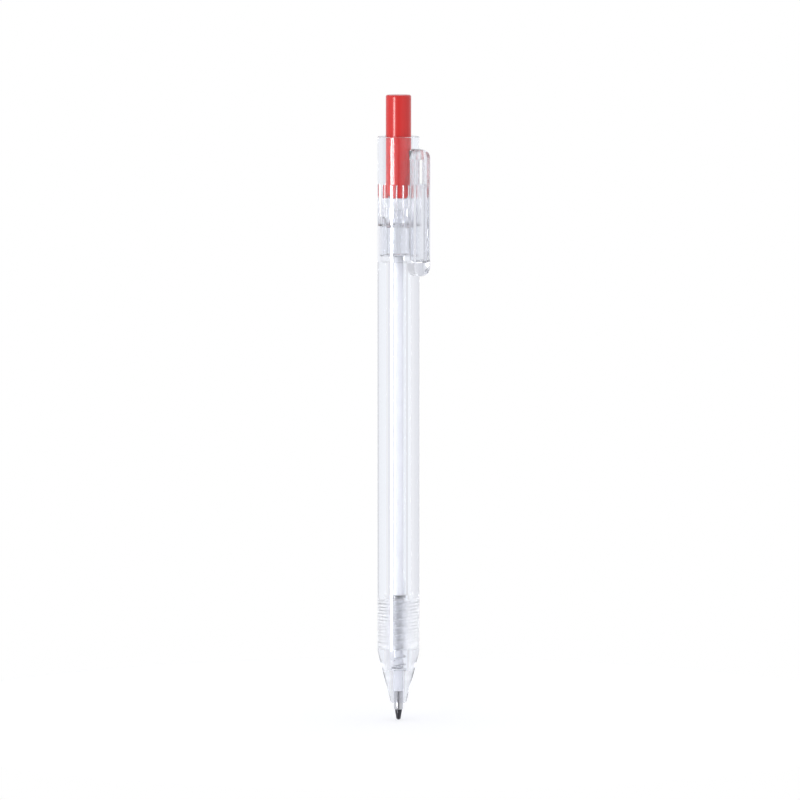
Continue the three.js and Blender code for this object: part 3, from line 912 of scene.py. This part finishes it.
@dataclass
class UpperHousing:
    """The upper housing: a clear sleeve with guide ribs inside and the clip moulded on it."""

    place: Span = field(default_factory=lambda: span("upper_housing"))
    seam: float = field(default_factory=lambda: span("barrel").top)
    guide_length: float = 9.2
    spigot_length: float = 7.0
    rim_round: float = 0.2
    root_round: float = 0.36
    crest_round: float = 0.3
    groove_margin: float = 0.01
    rib_overlap: float = 0.05
    chamfer: float = 0.14
    root: float = 0.22
    end_gap: float = 0.3
    clip: Clip = field(default_factory=Clip)
    clip_start: float = 0.1

    def rib(self, direction: float) -> bpy.types.Object:
        """Make one guide rib, with the slope and the rest on which the rotor's fins latch.

        Args:
            direction: Direction of its middle, in degrees.

        Returns:
            The rib, which fills the groove beside it too until that is cut.
        """
        latch = FITS.fin_top(direction, FITS.fin_edge(direction))
        half = 180 / FITS.ribs
        return sector(
            "guide_rib",
            (FITS.guide_bore + self.groove_margin, FITS.groove + self.root),
            (direction - half, direction + half),
            lambda degrees: max(latch, FITS.fin_top(direction, degrees)) + self.end_gap,
            level(self.seam + self.guide_length + self.rib_overlap),
            steps=48,
        )

    def groove_side(self) -> Outline:
        """Draw one side of a groove's section, with both corners round.

        Returns:
            Its points from the mouth to the floor.
        """
        half = 180 / FITS.ribs - FITS.rib_width / 2
        mouth = FITS.guide_bore + self.crest_round
        floor = FITS.groove - self.groove_margin - self.root_round
        crest = half + math.degrees(math.asin(self.crest_round / mouth))
        root = half - math.degrees(math.asin(self.root_round / floor))
        return [
            polar(FITS.guide_bore / 2, half, 0)[:2],
            *arc(*polar(mouth, crest, 0)[:2], self.crest_round, crest + 180, half + 270, steps=8),
            *arc(*polar(floor, root, 0)[:2], self.root_round, half + 90, root, steps=8),
        ]

    def groove(self, direction: float) -> bpy.types.Object:
        """Make the groove between two ribs.

        Args:
            direction: Direction of its middle, in degrees.

        Returns:
            The block to cut.
        """
        side = self.groove_side()
        edge = math.degrees(math.atan2(side[-1][1], side[-1][0]))
        floor = arc(0, 0, FITS.groove - self.groove_margin, edge, -edge, steps=6)[1:-1]
        outline = side + floor + [(x, -y) for x, y in reversed(side)]
        foot = self.seam - self.spigot_length - PAST
        top = self.seam + self.guide_length - self.groove_margin
        turn = Matrix.Rotation(math.radians(direction), 4, "Z")
        place = Matrix.Translation((0, 0, (foot + top) / 2)) @ turn
        return extruded("guide_groove", outline, top - foot, place)

    def build(self) -> None:
        """Make and set the housing."""
        top, outer, edge, size = self.place.top, self.place.radius, self.chamfer, self.rim_round
        foot = self.seam + FITS.seam_gap
        spigot = FITS.rim_bore - FITS.fit_gap
        shoulder = self.seam + self.guide_length
        outline = [
            (FITS.guide_bore, shoulder),
            *arc(FITS.guide_bore + size, top - size, size, 180, 90),
            *arc(outer - size, top - size, size, 90, 0),
            (outer, foot + edge),
            (outer - edge, foot),
            (spigot, foot),
            (spigot, self.seam - self.spigot_length + edge),
            (spigot - edge, self.seam - self.spigot_length),
            (FITS.groove, self.seam - self.spigot_length),
            (FITS.groove, shoulder),
        ]
        ribs = around(FITS.ribs, FITS.rib_turn, self.rib)
        grooves = around(FITS.ribs, FITS.rib_turn + 180 / FITS.ribs, self.groove)
        sleeve = combined(turned("housing_sleeve", outline), ribs, Join.ADD)
        combined(sleeve, grooves, Join.CUT)
        combined(sleeve, [self.clip.build()], Join.ADD)
        set_piece(sleeve, "shell", "upper_housing", CLEAR_HOUSING)
        # The clip's faces take the darker-tinted clear plastic, which is painted shade.
        sleeve.data.materials.append(CLEAR_CLIP_PAINTED_SHADE.material())
        for face in sleeve.data.polygons:
            face.material_index = int(face.center.x > (outer + self.clip_start) * MM)


@dataclass
class ClickAction:
    """The button, the pusher under it and the rotor that latches."""

    button: Span = field(default_factory=lambda: span("push_button"))
    button_bore: float = 2.15
    button_roof: float = 3.2
    button_round: float = 0.45
    keys: int = 4
    key_width: float = 21.0
    key_height: float = 0.45
    key_gap: float = 0.12
    key_side_gap: float = 0.75
    pusher: Span = field(default_factory=lambda: span("cam_pusher"))
    pusher_radius: float = 2.75
    pusher_bore: float = 1.85
    pusher_bore_top: float = 117.6
    pusher_fin: float = 2.4
    fin_side_gap: float = 1.5
    fin_root: float = 0.45
    key_sink: float = 0.01
    pusher_fin_rise: float = 1.85
    tooth: float = 1.0
    rotor: Span = field(default_factory=lambda: span("cam_rotor"))
    rotor_radius: float = 2.76
    rotor_shoulder: float = 113.5
    rotor_round: float = 0.4
    rotor_stem: float = 1.55
    rotor_fins: int = 4
    fin_step: float = 0.1
    edge: float = 0.06

    def build(self) -> None:
        """Make and set the three pieces."""
        self.build_button()
        self.build_pusher()
        self.build_rotor()

    def build_button(self) -> None:
        """Make the red cap, with notches for the pusher's keys."""
        foot, top, outer = self.button.foot, self.button.top, self.button.radius
        size, edge = self.button_round, self.edge
        outline = [
            (0, top - self.button_roof),
            (self.button_bore, top - self.button_roof),
            (self.button_bore, foot + edge),
            (self.button_bore + edge, foot),
            (outer - edge, foot),
            (outer, foot + edge),
            *arc(outer - size, top - size, size, 0, 90, steps=8),
            (0, top),
        ]
        half = self.key_width / 2 + self.key_side_gap
        notches = around(self.keys, FITS.rib_turn, lambda direction: sector(
            "key_notch",
            (self.button_bore - FITS.fit_gap, outer + PAST),
            (direction - half, direction + half),
            level(foot - PAST),
            level(foot + self.key_height + self.key_gap),
        ))
        cap = combined(turned("button_cap", outline), notches, Join.CUT)
        set_piece(cap, "plunger", "push_button", RED_BUTTON)

    def build_pusher(self) -> None:
        """Make the clear sleeve, its stem, keys and fins, with a zigzag lower end."""
        foot, top, seam = self.pusher.foot, self.pusher.top, self.button.foot
        stem, outer, edge = self.button_bore - FITS.fit_gap, self.pusher_radius, self.edge
        outline = [
            (0, self.pusher_bore_top),
            (self.pusher_bore, self.pusher_bore_top),
            (self.pusher_bore, foot),
            (outer, foot),
            (outer, seam - 2 * edge),
            (outer - edge, seam - edge),
            (stem, seam - edge),
            (stem, top - edge),
            (stem - edge, top),
            (0, top),
        ]
        fin_half = 180 / FITS.ribs - FITS.rib_width / 2 - self.fin_side_gap
        fins = around(FITS.ribs, FITS.rib_turn + 180 / FITS.ribs, lambda direction: sector(
            "pusher_fin",
            (self.pusher_bore + self.fin_root, FITS.fin_tip),
            (direction - fin_half, direction + fin_half),
            level(foot + self.pusher_fin_rise),
            level(foot + self.pusher_fin_rise + self.pusher_fin),
        ))
        key_half = self.key_width / 2
        keys = around(self.keys, FITS.rib_turn, lambda direction: sector(
            "pusher_key",
            (stem - FITS.fit_gap, outer - self.key_sink),
            (direction - key_half, direction + key_half),
            level(seam - self.key_height),
            level(seam + self.key_height),
        ))
        half = 90 / FITS.ribs
        valleys = around(2 * FITS.ribs, FITS.rib_turn, lambda direction: sector(
            "tooth_valley",
            (self.pusher_bore / 2, FITS.fin_tip + PAST),
            (direction - half, direction + half),
            level(foot - PAST),
            lambda degrees: foot + self.tooth * (1 - abs(degrees - direction) / half),
        ))
        sleeve = combined(turned("pusher_sleeve", outline), [*fins, *keys], Join.ADD)
        combined(sleeve, valleys, Join.CUT)
        set_piece(sleeve, "plunger", "cam_pusher", CLEAR_PUSHER)

    def rotor_blades(self, inner: float, top: Callable[[float], Height]) -> list[bpy.types.Object]:
        """Make the rotor's fins.

        Args:
            inner: Their inner radius.
            top: The shape of the top of the fin that stands in a direction.

        Returns:
            One block for each fin.
        """
        return around(self.rotor_fins, FITS.rib_turn + 360 / FITS.ribs, lambda direction: sector(
            "rotor_fin",
            (inner, FITS.fin_tip),
            (FITS.fin_edge(direction) - FITS.fin_width, FITS.fin_edge(direction)),
            level(self.rotor.foot),
            top(direction),
        ))

    def build_rotor(self) -> None:
        """Make the drum with its guide stem and the fins that latch under the ribs."""
        foot, top, outer = self.rotor.foot, self.rotor.top, self.rotor_radius
        size, edge = self.rotor_round, self.edge
        outline = [
            (0, foot),
            (outer - edge, foot),
            (outer, foot + edge),
            *arc(outer - size, self.rotor_shoulder - size, size, 0, 90),
            (self.rotor_stem, self.rotor_shoulder),
            (self.rotor_stem, top - edge),
            (self.rotor_stem - edge, top),
            (0, top),
        ]
        web = level(self.rotor_shoulder - size)
        fins = self.rotor_blades(outer - size, lambda direction: web)
        tops = self.rotor_blades(
            self.pusher_radius + self.fin_step,
            lambda direction: lambda degrees: FITS.fin_top(direction, degrees),
        )
        drum = combined(turned("rotor_drum", outline), [*fins, *tops], Join.ADD)
        set_piece(drum, "rotor", "cam_rotor", CLEAR_ROTOR)


@dataclass
class Refill:
    """The white refill with its crimped ears, and the metal point."""

    tube: Span = field(default_factory=lambda: span("refill_tube"))
    ear_foot: float = 29.1
    ear_height: float = 3.9
    ear_ramp: float = 2.0
    ear_reach: float = 1.58
    ear_thickness: float = 0.7
    ear_direction: float = 45.0
    ear_round: float = 0.2
    ear_bend: float = 0.05
    ear_sink: float = 0.02
    sleeve: Span = field(default_factory=lambda: span("point_sleeve"))
    sleeve_chamfer: float = 0.2
    collar_gap: float = 0.01
    socket_gap: float = 0.3
    cone: Span = field(default_factory=lambda: span("point_cone"))
    cone_top: float = 0.83
    cone_tip: float = 0.47
    cone_lip: float = 0.12
    lip_flat: float = 0.01
    cone_shank: float = 0.6
    ink_hole: float = 0.2
    ball: float = 0.4
    ball_gap: float = 0.03
    point_sides: int = 96
    ball_sides: int = 48
    edge: float = 0.05

    def build(self) -> None:
        """Make and set every piece of the refill."""
        self.build_tube()
        self.build_sleeve()
        self.build_cone()
        self.build_ball()
        for node, finish in (("ink_column", INK), ("ink_follower", GREASE)):
            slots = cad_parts[node].data.materials
            slots.clear()
            slots.append(finish.material())
            LOG.info("%s keeps its packed shape", node)

    def build_tube(self) -> None:
        """Make the tube, with the two ears pinched out of its wall."""
        foot, top, bore, edge = self.tube.foot, self.tube.top, FITS.refill_bore, self.edge
        outline = [
            (bore, foot),
            (FITS.refill - edge, foot),
            (FITS.refill, foot + edge),
            (FITS.refill, top - 2 * edge),
            (FITS.refill - 2 * edge, top),
            (bore, top),
        ]
        low, high = self.ear_foot, self.ear_foot + self.ear_height
        shoulder = high - self.ear_ramp
        bend = (self.ear_reach - self.ear_bend, high - self.ear_ramp / 2)
        root = (FITS.refill - self.ear_sink, high)
        right = [(self.ear_reach, low), *eased((self.ear_reach, shoulder), bend, root, steps=8)]
        ears = right + [(-across, height) for across, height in reversed(right)]
        turn = Matrix.Rotation(math.radians(self.ear_direction), 4, "Z")
        plate = extruded("refill_ears", ears, self.ear_thickness, turn @ UPRIGHT)
        eased_edges(plate, self.ear_round)
        below, above = low - PAST, high + PAST
        core = turned("ear_core", [(0, below), (bore, below), (bore, above), (0, above)])
        combined(plate, [core], Join.CUT)
        tube = combined(turned("refill_wall", outline), [plate], Join.ADD)
        set_piece(tube, "refill", "refill_tube", WHITE_TUBE)

    def build_sleeve(self) -> None:
        """Make the bright collar of the point, with the shank that plugs the tube."""
        foot, top, outer = self.sleeve.foot, self.sleeve.top, self.sleeve.radius
        socket, socket_top = self.cone_shank + FITS.fit_gap, self.cone.top + self.socket_gap
        collar, chamfer = self.tube.foot - self.collar_gap, self.sleeve_chamfer
        outline = [
            (socket, foot),
            *arc(outer - chamfer, foot + chamfer, chamfer, -90, 0),
            *arc(outer - self.edge, collar - self.edge, self.edge, 0, 90, steps=2),
            (FITS.plug, collar),
            (FITS.plug, top),
            (self.ink_hole, top),
            (self.ink_hole, socket_top),
            (socket, socket_top),
        ]
        set_piece(turned("point_collar", outline, self.point_sides), "refill", "point_sleeve", BRIGHT_METAL)

    def build_cone(self) -> None:
        """Make the dark nib that holds the ball."""
        lip = self.ball / 2
        lip_bore = math.sqrt(self.ball**2 - (self.ball - lip) ** 2) + self.ball_gap
        seat = self.ball + self.ball_gap
        top, step, tip, flat = self.cone.top, self.sleeve.foot, self.cone_tip, self.lip_flat
        outline = [
            (lip_bore, lip),
            *eased((lip_bore + flat, lip), (tip, lip + flat), (tip + 2 * flat, lip + self.cone_lip), steps=4),
            *arc(self.cone_top - self.edge, step - 2 * self.edge, self.edge, 0, 90, steps=3),
            (self.cone_shank, step - self.edge),
            (self.cone_shank, top),
            (self.ink_hole, top),
            (self.ink_hole, 2 * self.ball + self.ball_gap),
            (seat, 2 * self.ball + self.ball_gap),
            (seat, self.ball),
        ]
        set_piece(turned("point_nib", outline, self.point_sides), "refill", "point_cone", DARK_METAL)

    def build_ball(self) -> None:
        """Make the writing ball."""
        outline = arc(0, self.ball, self.ball, -90, 90, steps=24)
        outline[0], outline[-1] = (0, 0), (0, 2 * self.ball)
        set_piece(turned("nib_ball", outline, self.ball_sides), "ball", "writing_ball", CARBIDE)


@dataclass
class ReturnSpring:
    """The spring between the nose cone's seat and the refill's ears, with closed end coils."""

    foot: float = 11.75
    top: float = 29.1
    radius: float = 1.55
    wire: float = 0.2
    closed_turns: float = 1.5
    open_turns: float = 9.0
    coil_gap: float = 0.03
    blend_turns: float = 0.5
    first: float = 45.0
    steps: int = 32
    facets: int = 10

    def path(self) -> list[tuple[float, float, float]]:
        """Follow the wire, whose turns are close at both ends and open between them.

        Returns:
            Its direction, height and scale at each step.
        """
        turns = 2 * self.closed_turns + self.open_turns
        close = 2 * self.wire * (1 + self.coil_gap)
        rise = self.top - self.foot - 2 * self.wire
        wide = (rise - 2 * self.closed_turns * close) / self.open_turns
        count = round(turns * self.steps)
        heights = [0.0]
        for i in range(count):
            turn = (i + 0.5) / self.steps
            inside = min(turn - self.closed_turns, turns - self.closed_turns - turn)
            share = min(max(inside / self.blend_turns + 0.5, 0.0), 1.0)
            heights.append(heights[-1] + (close + (wide - close) * share) / self.steps)
        fit = rise / heights[-1]
        base = self.foot + self.wire
        directions = (self.first + 360 * i / self.steps for i in range(count + 1))
        return [(direction, base + height * fit, 1.0) for direction, height in zip(directions, heights)]

    def build(self) -> None:
        """Make the spring, which lies between the shell and the refill."""
        section = [polar(self.wire, 360 * i / self.facets, 0)[:2] for i in range(self.facets)]
        coil = wound("spring_wire", self.radius, self.path(), section)
        set_piece(coil, "", "return_spring", SPRING_STEEL)
        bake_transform(coil)


# Studio


@dataclass
class Studio:
    """The pale floor, the light all round, the softbox and the camera."""

    camera_turn: float = 45.0
    camera_distance: float = 1.8
    camera_height: float = 0.228
    aim_height: float = 0.07375
    aim_right: float = 0.000345
    field_width: float = 0.18325
    clip_range: Pair = (0.05, 20)
    bounces: int = 32
    gloss_bounces: int = 12
    floor_radius: float = 0.12
    floor_sides: int = 96
    floor_colour: Colour = (0.8, 0.8, 0.81)
    floor_lift: float = 0.3
    fill: float = 0.95
    inner_fill: Pair = (1.5, 2.35)
    fill_colour: Colour = (0.93, 0.94, 0.97)
    key_turn: float = -39.0
    key_distance: float = 1.4
    key_size: Pair = (0.28, 0.5)
    key_height: float = -0.04
    key_power: float = 8.0
    walls: tuple[tuple[float, Colour], ...] = (
        (-180, (0.15, 0.15, 0.16)),
        (-165, (0.4, 0.4, 0.42)),
        (-145, (0.75, 0.75, 0.78)),
        (-95, (0.8, 0.81, 0.85)),
        (-60, (0.82, 0.83, 0.88)),
        (-25, (0.9, 0.91, 0.95)),
        (25, (0.93, 0.955, 1.0)),
        (58, (0.93, 0.955, 1.0)),
        (75, (0.72, 0.73, 0.77)),
        (100, (0.74, 0.75, 0.78)),
        (145, (0.7, 0.7, 0.73)),
        (165, (0.4, 0.4, 0.42)),
    )

    def away(self, turn: float) -> Vector:
        """Level direction from the pen, at a turn to the right of where the camera stands."""
        angle = math.radians(self.camera_turn + turn)
        return Vector((math.sin(angle), -math.cos(angle), 0))

    def build(self) -> None:
        """Set up everything round the pen."""
        bpy.context.scene.view_settings.view_transform = "Standard"
        cycles = bpy.context.scene.cycles
        cycles.max_bounces = self.bounces
        cycles.transmission_bounces = self.bounces
        cycles.glossy_bounces = self.gloss_bounces
        self.build_camera()
        self.build_world()
        self.build_key()
        self.build_floor()

    def build_camera(self) -> None:
        """Set the camera at the photograph's viewing angle."""
        lens = bpy.data.cameras.new("camera")
        camera = bpy.data.objects.new("camera", lens)
        bpy.context.scene.collection.objects.link(camera)
        right = self.away(90) * self.aim_right
        aim = right + Vector((0, 0, self.aim_height))
        camera.location = right + self.away(0) * self.camera_distance + Vector((0, 0, self.camera_height))
        look = aim - camera.location
        camera.rotation_euler = look.to_track_quat("-Z", "Y").to_euler()
        lens.lens = lens.sensor_width * look.length / self.field_width
        lens.clip_start, lens.clip_end = self.clip_range
        bpy.context.scene.camera = camera

    def seen(self, tree: bpy.types.NodeTree) -> bpy.types.NodeSocket:
        """Tell the rays that show a surface from those that only light others.

        Args:
            tree: Nodes of the material.

        Returns:
            A value of 1 on rays from the camera and on those that a gloss or a clear piece sends on.
        """
        path = tree.nodes.new("ShaderNodeLightPath")
        total = path.outputs["Is Camera Ray"]
        for name in ("Is Glossy Ray", "Is Transmission Ray"):
            add = tree.nodes.new("ShaderNodeMath")
            add.operation = "MAXIMUM"
            tree.links.new(total, add.inputs[0])
            tree.links.new(path.outputs[name], add.inputs[1])
            total = add.outputs[0]
        return total

    def wall_light(self, tree: bpy.types.NodeTree, place: bpy.types.ShaderNode) -> bpy.types.ShaderNode:
        """Shade the walls round the pen, by direction.

        Args:
            tree: Nodes of the world.
            place: Its texture coordinates.

        Returns:
            The light of the walls, as gloss and clear pieces show it.
        """
        turn = tree.nodes.new("ShaderNodeMapping")
        turn.inputs["Rotation"].default_value = (0, 0, -math.radians(self.camera_turn + 90))
        sweep = tree.nodes.new("ShaderNodeTexGradient")
        sweep.gradient_type = "RADIAL"
        ramp = tree.nodes.new("ShaderNodeValToRGB")
        ramp.color_ramp.interpolation = "EASE"
        stops = sorted((0.5 - angle / 360, colour) for angle, colour in self.walls)
        stops.insert(0, (0.0, self.walls[0][1]))
        while len(ramp.color_ramp.elements) < len(stops):
            ramp.color_ramp.elements.new(1)
        for element, (position, colour) in zip(ramp.color_ramp.elements, stops):
            element.position = position
            element.color = (*colour, 1)
        light = tree.nodes.new("ShaderNodeBackground")
        tree.links.new(place.outputs["Generated"], turn.inputs["Vector"])
        tree.links.new(turn.outputs["Vector"], sweep.inputs["Vector"])
        tree.links.new(sweep.outputs["Fac"], ramp.inputs["Fac"])
        tree.links.new(ramp.outputs["Color"], light.inputs["Color"])
        return light

    def soft_light(self, tree: bpy.types.NodeTree) -> bpy.types.ShaderNode:
        """Light the open surfaces evenly.

        Args:
            tree: Nodes of the world.

        Returns:
            The light.
        """
        light = tree.nodes.new("ShaderNodeBackground")
        light.inputs["Strength"].default_value = self.fill
        light.inputs["Color"].default_value = (*self.fill_colour, 1)
        return light

    def inner_light(self, tree: bpy.types.NodeTree, place: bpy.types.ShaderNode) -> bpy.types.ShaderNode:
        """Light what lies behind clear walls, which the softbox doesn't reach, more from its side.

        Args:
            tree: Nodes of the world.
            place: Its texture coordinates.

        Returns:
            The light.
        """
        facing = tree.nodes.new("ShaderNodeVectorMath")
        facing.operation = "DOT_PRODUCT"
        facing.inputs[1].default_value = self.away(self.key_turn)
        share = tree.nodes.new("ShaderNodeMapRange")
        share.inputs["From Min"].default_value = -1
        share.inputs["To Min"].default_value, share.inputs["To Max"].default_value = self.inner_fill
        light = tree.nodes.new("ShaderNodeBackground")
        light.inputs["Color"].default_value = (*self.fill_colour, 1)
        tree.links.new(place.outputs["Generated"], facing.inputs[0])
        tree.links.new(facing.outputs["Value"], share.inputs["Value"])
        tree.links.new(share.outputs["Result"], light.inputs["Strength"])
        return light

    def either(
        self,
        tree: bpy.types.NodeTree,
        share: bpy.types.NodeSocket,
        first: bpy.types.ShaderNode,
        second: bpy.types.ShaderNode,
    ) -> bpy.types.ShaderNode:
        """Choose between two lights.

        Args:
            tree: Nodes of the world.
            share: A value of 0 where the first light shows and 1 where the second does.
            first: The one light.
            second: The other light.

        Returns:
            The light that shows.
        """
        choice = tree.nodes.new("ShaderNodeMixShader")
        tree.links.new(share, choice.inputs["Fac"])
        tree.links.new(first.outputs[0], choice.inputs[1])
        tree.links.new(second.outputs[0], choice.inputs[2])
        return choice

    def build_world(self) -> None:
        """Make the world white to the camera, walled to gloss and clear pieces, and soft to the rest."""
        world = bpy.data.worlds.new("studio")
        bpy.context.scene.world = world
        world.use_nodes = True
        tree = world.node_tree
        tree.nodes.clear()
        place = tree.nodes.new("ShaderNodeTexCoord")
        path = tree.nodes.new("ShaderNodeLightPath")
        white = tree.nodes.new("ShaderNodeBackground")
        white.inputs["Color"].default_value = (1, 1, 1, 1)
        soft, inner = self.soft_light(tree), self.inner_light(tree, place)
        lit = self.either(tree, path.outputs["Transmission Depth"], soft, inner)
        walled = self.either(tree, path.outputs["Diffuse Depth"], self.wall_light(tree, place), lit)
        shown = self.either(tree, path.outputs["Is Camera Ray"], walled, white)
        output = tree.nodes.new("ShaderNodeOutputWorld")
        tree.links.new(shown.outputs[0], output.inputs["Surface"])

    def build_key(self) -> None:
        """Hang the tall softbox at the camera's left."""
        lamp = bpy.data.lights.new("softbox", "AREA")
        lamp.shape = "RECTANGLE"
        lamp.size, lamp.size_y = self.key_size
        lamp.energy = self.key_power
        holder = bpy.data.objects.new("softbox", lamp)
        bpy.context.scene.collection.objects.link(holder)
        holder.location = self.away(self.key_turn) * self.key_distance + Vector((0, 0, self.key_height))
        holder.rotation_euler = (-self.away(self.key_turn)).to_track_quat("-Z", "Y").to_euler()

    def build_floor(self) -> None:
        """Lay the pale floor, which is lifted to white where no shadow falls."""
        sides, radius = self.floor_sides, self.floor_radius
        bpy.ops.mesh.primitive_circle_add(vertices=sides, radius=radius, fill_type="NGON")
        floor = bpy.context.object
        floor.name = "floor"
        material = bpy.data.materials.new("pale_floor")
        material.use_nodes = True
        tree = material.node_tree
        tree.nodes.clear()
        matt = tree.nodes.new("ShaderNodeBsdfDiffuse")
        matt.inputs["Color"].default_value = (*self.floor_colour, 1)
        lift = tree.nodes.new("ShaderNodeEmission")
        share = tree.nodes.new("ShaderNodeMath")
        share.operation = "MULTIPLY"
        share.inputs[1].default_value = self.floor_lift
        both = tree.nodes.new("ShaderNodeAddShader")
        output = tree.nodes.new("ShaderNodeOutputMaterial")
        tree.links.new(self.seen(tree), share.inputs[0])
        tree.links.new(share.outputs[0], lift.inputs["Strength"])
        tree.links.new(matt.outputs[0], both.inputs[0])
        tree.links.new(lift.outputs[0], both.inputs[1])
        tree.links.new(both.outputs[0], output.inputs["Surface"])
        floor.data.materials.append(material)
        floor.visible_glossy = False


def main() -> None:
    """Build the pen and its studio, piece by piece."""
    logging.basicConfig(level=logging.INFO, format="%(name)s: %(message)s")
    for part in (NoseCone(), Barrel(), UpperHousing(), ClickAction(), Refill(), ReturnSpring(), Studio()):
        part.build()
        LOG.info("%s done", type(part).__name__)


if __name__ == "__main__":
    main()
